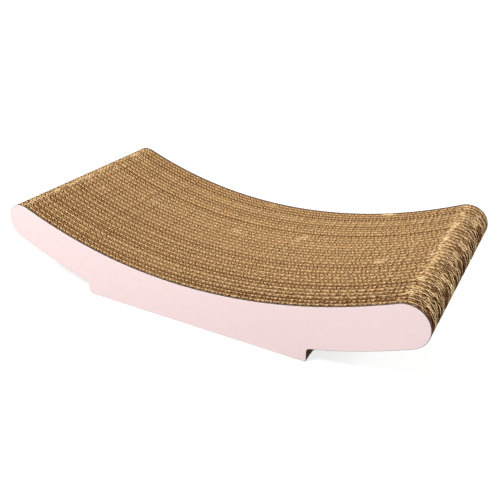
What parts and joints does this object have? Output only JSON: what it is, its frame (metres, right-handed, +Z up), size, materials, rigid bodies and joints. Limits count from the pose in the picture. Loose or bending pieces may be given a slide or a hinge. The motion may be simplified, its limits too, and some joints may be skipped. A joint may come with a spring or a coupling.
{
  "type": "cardboard cat scratcher",
  "caption": "Cradle-shaped cat scratcher of corrugated board strips glued face to face between two side panels with a pale pink printed facing, on a flat foot.",
  "frame": {"origin": "on the floor, under the middle of the scratcher", "axes": "+X along the length, +Y from the front panel to the rear panel, +Z up"},
  "size_m": [0.44, 0.2092, 0.0815],
  "materials": {
    "kraft_board": "raw kraft paper, cut edges with open flutes",
    "panel_board": "dense grey-brown board, die-cut edge",
    "pink_facing": "printed paper, pale blush pink, matt"
  },
  "bodies": {
    "root": {"front_facing": "pink_facing", "front_panel": "panel_board", "strip_01": "kraft_board", "strip_02": "kraft_board", "strip_03": "kraft_board", "strip_04": "kraft_board", "strip_05": "kraft_board", "strip_06": "kraft_board", "strip_07": "kraft_board", "strip_08": "kraft_board", "strip_09": "kraft_board", "strip_10": "kraft_board", "strip_11": "kraft_board", "strip_12": "kraft_board", "strip_13": "kraft_board", "strip_14": "kraft_board", "strip_15": "kraft_board", "strip_16": "kraft_board", "strip_17": "kraft_board", "strip_18": "kraft_board", "strip_19": "kraft_board", "strip_20": "kraft_board", "strip_21": "kraft_board", "strip_22": "kraft_board", "strip_23": "kraft_board", "strip_24": "kraft_board", "strip_25": "kraft_board", "strip_26": "kraft_board", "strip_27": "kraft_board", "strip_28": "kraft_board", "strip_29": "kraft_board", "strip_30": "kraft_board", "strip_31": "kraft_board", "strip_32": "kraft_board", "strip_33": "kraft_board", "strip_34": "kraft_board", "rear_panel": "panel_board", "rear_facing": "pink_facing"}
  },
  "joints": []
}
